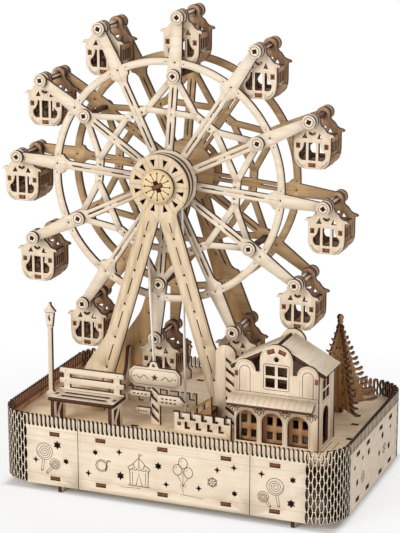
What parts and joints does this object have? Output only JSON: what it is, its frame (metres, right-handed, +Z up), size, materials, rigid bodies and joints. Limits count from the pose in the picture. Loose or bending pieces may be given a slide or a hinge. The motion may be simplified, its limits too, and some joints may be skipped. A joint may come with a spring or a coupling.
{
  "type": "hand-cranked ferris wheel model",
  "caption": "Laser-cut plywood Ferris wheel on a box base with a fairground scene; a crank and belt turn the wheel while its cabins hang level.",
  "frame": {"origin": "middle of the bounding box, on the surface that the feet stand on", "axes": "+X along the front to the right, +Y from the front to the back, along the wheel's axle, +Z up"},
  "size_m": [0.3048, 0.1932, 0.3632],
  "materials": {
    "base_plywood": "matte",
    "wheel_plywood": "matte",
    "cabin_plywood": "matte",
    "scenery_plywood": "matte",
    "belt_rubber": "satin"
  },
  "bodies": {
    "stand_and_base": {"back_panel": "base_plywood", "bearing_plates": "base_plywood", "belt": "belt_rubber", "bench_back": "scenery_plywood", "bench_legs": "scenery_plywood", "bench_seat": "scenery_plywood", "bottom_plate": "base_plywood", "deck": "base_plywood", "fences": "scenery_plywood", "foot_rails": "base_plywood", "front_panel": "base_plywood", "front_stand": "base_plywood", "house_awning": "scenery_plywood", "house_front": "scenery_plywood", "house_roof": "scenery_plywood", "house_sides": "scenery_plywood", "house_upper": "scenery_plywood", "left_wrap": "base_plywood", "leg_brace": "base_plywood", "rear_stand": "base_plywood", "right_wrap": "base_plywood", "sign_boards": "scenery_plywood", "sign_pole": "scenery_plywood", "staircase": "scenery_plywood", "street_lamps": "scenery_plywood", "striped_tower": "scenery_plywood", "tree": "scenery_plywood"},
    "wheel": {"front_hub_plate": "wheel_plywood", "front_arms": "wheel_plywood", "front_ring": "wheel_plywood", "front_star": "wheel_plywood", "front_caps": "wheel_plywood", "rear_hub_plate": "wheel_plywood", "rear_arms": "wheel_plywood", "rear_ring": "wheel_plywood", "rear_star": "wheel_plywood", "rear_caps": "wheel_plywood", "cabin_pins": "wheel_plywood", "star_pins": "wheel_plywood", "hub_pulley": "wheel_plywood", "hub_discs": "wheel_plywood", "hub_axle": "wheel_plywood"},
    "cabin_01": {"cabin_01": "cabin_plywood"},
    "cabin_02": {"cabin_02": "cabin_plywood"},
    "cabin_03": {"cabin_03": "cabin_plywood"},
    "cabin_04": {"cabin_04": "cabin_plywood"},
    "cabin_05": {"cabin_05": "cabin_plywood"},
    "cabin_06": {"cabin_06": "cabin_plywood"},
    "cabin_07": {"cabin_07": "cabin_plywood"},
    "cabin_08": {"cabin_08": "cabin_plywood"},
    "cabin_09": {"cabin_09": "cabin_plywood"},
    "cabin_10": {"cabin_10": "cabin_plywood"},
    "cabin_11": {"cabin_11": "cabin_plywood"},
    "cabin_12": {"cabin_12": "cabin_plywood"},
    "crank": {"crank_shaft": "wheel_plywood", "crank_pulley": "wheel_plywood", "crank_arm": "wheel_plywood", "crank_knob": "wheel_plywood"}
  },
  "joints": [
    {"name": "wheel_spin", "type": "hinge", "parent": "stand_and_base", "child": "wheel", "pos_m": [-0.01088, -0.00345, 0.2333], "axis": [0, 1, 0], "continuous": true},
    {"name": "crank_spin", "type": "hinge", "parent": "stand_and_base", "child": "crank", "pos_m": [-0.00408, -0.00345, 0.0298], "axis": [0, 1, 0], "continuous": true},
    {"name": "hang_01", "type": "hinge", "parent": "wheel", "child": "cabin_01", "pos_m": [0.10185, -0.00345, 0.28731], "axis": [0, 1, 0], "continuous": true},
    {"name": "hang_02", "type": "hinge", "parent": "wheel", "child": "cabin_02", "pos_m": [0.05974, -0.00345, 0.33644], "axis": [0, 1, 0], "continuous": true},
    {"name": "hang_03", "type": "hinge", "parent": "wheel", "child": "cabin_03", "pos_m": [-0.00129, -0.00345, 0.35793], "axis": [0, 1, 0], "continuous": true},
    {"name": "hang_04", "type": "hinge", "parent": "wheel", "child": "cabin_04", "pos_m": [-0.06489, -0.00345, 0.34603], "axis": [0, 1, 0], "continuous": true},
    {"name": "hang_05", "type": "hinge", "parent": "wheel", "child": "cabin_05", "pos_m": [-0.11402, -0.00345, 0.30392], "axis": [0, 1, 0], "continuous": true},
    {"name": "hang_06", "type": "hinge", "parent": "wheel", "child": "cabin_06", "pos_m": [-0.13552, -0.00345, 0.24289], "axis": [0, 1, 0], "continuous": true},
    {"name": "hang_07", "type": "hinge", "parent": "wheel", "child": "cabin_07", "pos_m": [-0.12361, -0.00345, 0.17929], "axis": [0, 1, 0], "continuous": true},
    {"name": "hang_08", "type": "hinge", "parent": "wheel", "child": "cabin_08", "pos_m": [-0.0815, -0.00345, 0.13016], "axis": [0, 1, 0], "continuous": true},
    {"name": "hang_09", "type": "hinge", "parent": "wheel", "child": "cabin_09", "pos_m": [-0.02047, -0.00345, 0.10867], "axis": [0, 1, 0], "continuous": true},
    {"name": "hang_10", "type": "hinge", "parent": "wheel", "child": "cabin_10", "pos_m": [0.04313, -0.00345, 0.12057], "axis": [0, 1, 0], "continuous": true},
    {"name": "hang_11", "type": "hinge", "parent": "wheel", "child": "cabin_11", "pos_m": [0.09226, -0.00345, 0.16268], "axis": [0, 1, 0], "continuous": true},
    {"name": "hang_12", "type": "hinge", "parent": "wheel", "child": "cabin_12", "pos_m": [0.11375, -0.00345, 0.22371], "axis": [0, 1, 0], "continuous": true}
  ],
  "couplings": [
    {"joint": "crank_spin", "follows": "wheel_spin", "ratio": 1.2881},
    {"joint": "hang_01", "follows": "wheel_spin", "ratio": -1},
    {"joint": "hang_02", "follows": "wheel_spin", "ratio": -1},
    {"joint": "hang_03", "follows": "wheel_spin", "ratio": -1},
    {"joint": "hang_04", "follows": "wheel_spin", "ratio": -1},
    {"joint": "hang_05", "follows": "wheel_spin", "ratio": -1},
    {"joint": "hang_06", "follows": "wheel_spin", "ratio": -1},
    {"joint": "hang_07", "follows": "wheel_spin", "ratio": -1},
    {"joint": "hang_08", "follows": "wheel_spin", "ratio": -1},
    {"joint": "hang_09", "follows": "wheel_spin", "ratio": -1},
    {"joint": "hang_10", "follows": "wheel_spin", "ratio": -1},
    {"joint": "hang_11", "follows": "wheel_spin", "ratio": -1},
    {"joint": "hang_12", "follows": "wheel_spin", "ratio": -1}
  ]
}
